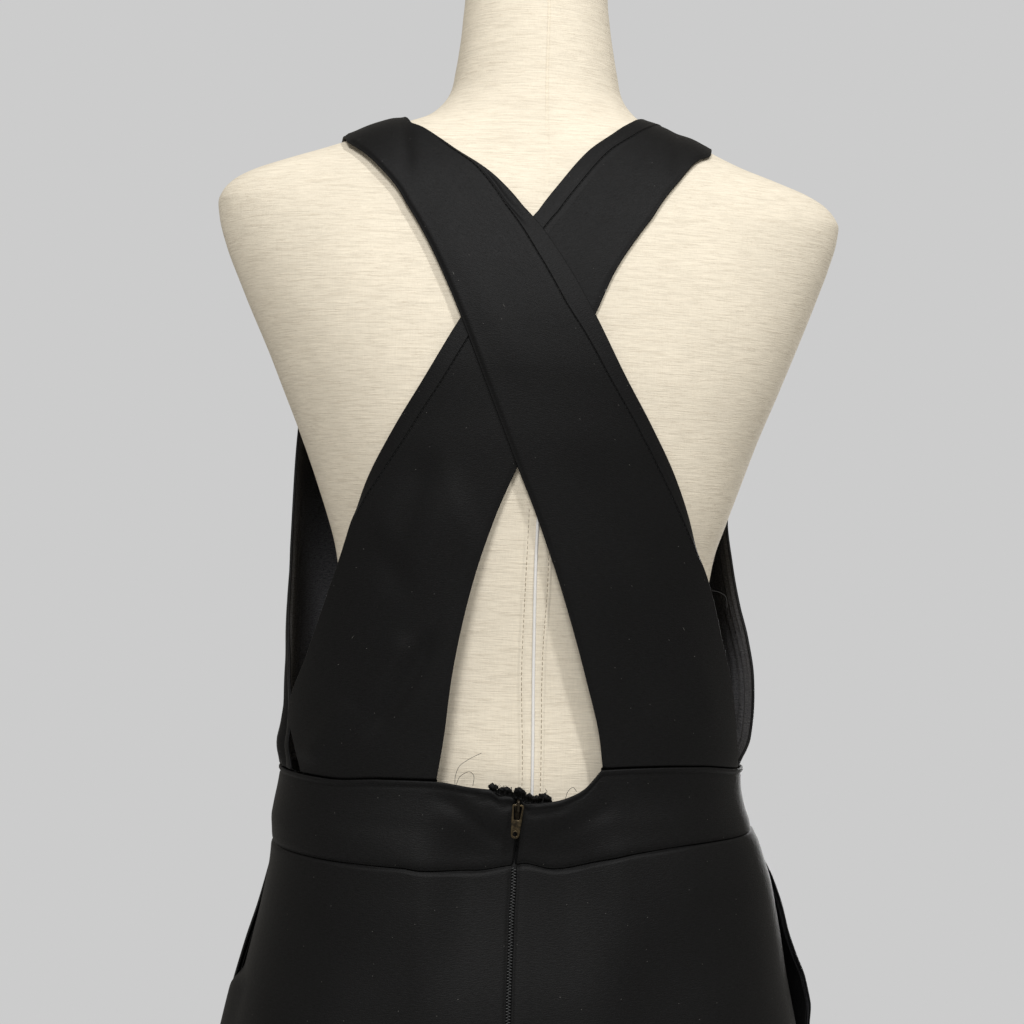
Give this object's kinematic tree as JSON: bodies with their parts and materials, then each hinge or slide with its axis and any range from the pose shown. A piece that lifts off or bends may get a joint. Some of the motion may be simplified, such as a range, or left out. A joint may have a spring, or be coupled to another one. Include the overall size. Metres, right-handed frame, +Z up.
{
  "type": "romper on a dress form",
  "caption": "Sleeveless short romper with crossed back straps, a waistband and a back zip, worn on a limbless dress form with a pole and a round base.",
  "frame": {"origin": "on the floor, under the middle of the whole part's footprint", "axes": "+Z up, the wearer's front towards -Y and back towards +Y, +X towards the wearer's left"},
  "size_m": [0.435, 0.34, 1.565],
  "materials": {
    "black_knit": "matt, smooth crepe-like double knit",
    "linen": "matt slub linen, stretched over the form",
    "zip_tape": "matt woven tape with a nylon coil",
    "old_brass": "dark antique, satin",
    "pole_steel": "satin",
    "base_paint": "satin paint"
  },
  "bodies": {
    "romper_and_form": {"form_torso": "linen", "form_pole": "pole_steel", "form_collar": "base_paint", "form_socket": "base_paint", "form_base": "base_paint", "bodice_front": "black_knit", "strap_left": "black_knit", "strap_right": "black_knit", "waistband_front": "black_knit", "waistband_back_left": "black_knit", "waistband_back_right": "black_knit", "shorts_front_left": "black_knit", "shorts_front_right": "black_knit", "shorts_back_left": "black_knit", "shorts_back_right": "black_knit", "pocket_left": "black_knit", "pocket_right": "black_knit", "zip_chain": "zip_tape", "zip_slider": "old_brass"},
    "pull": {"zip_pull": "old_brass"}
  },
  "joints": [
    {"name": "pull_hinge", "type": "hinge", "parent": "romper_and_form", "child": "pull", "pos_m": [0.00209, 0.10143, 1.02], "axis": [1, 0, 0], "range_deg": [0, 150]}
  ]
}
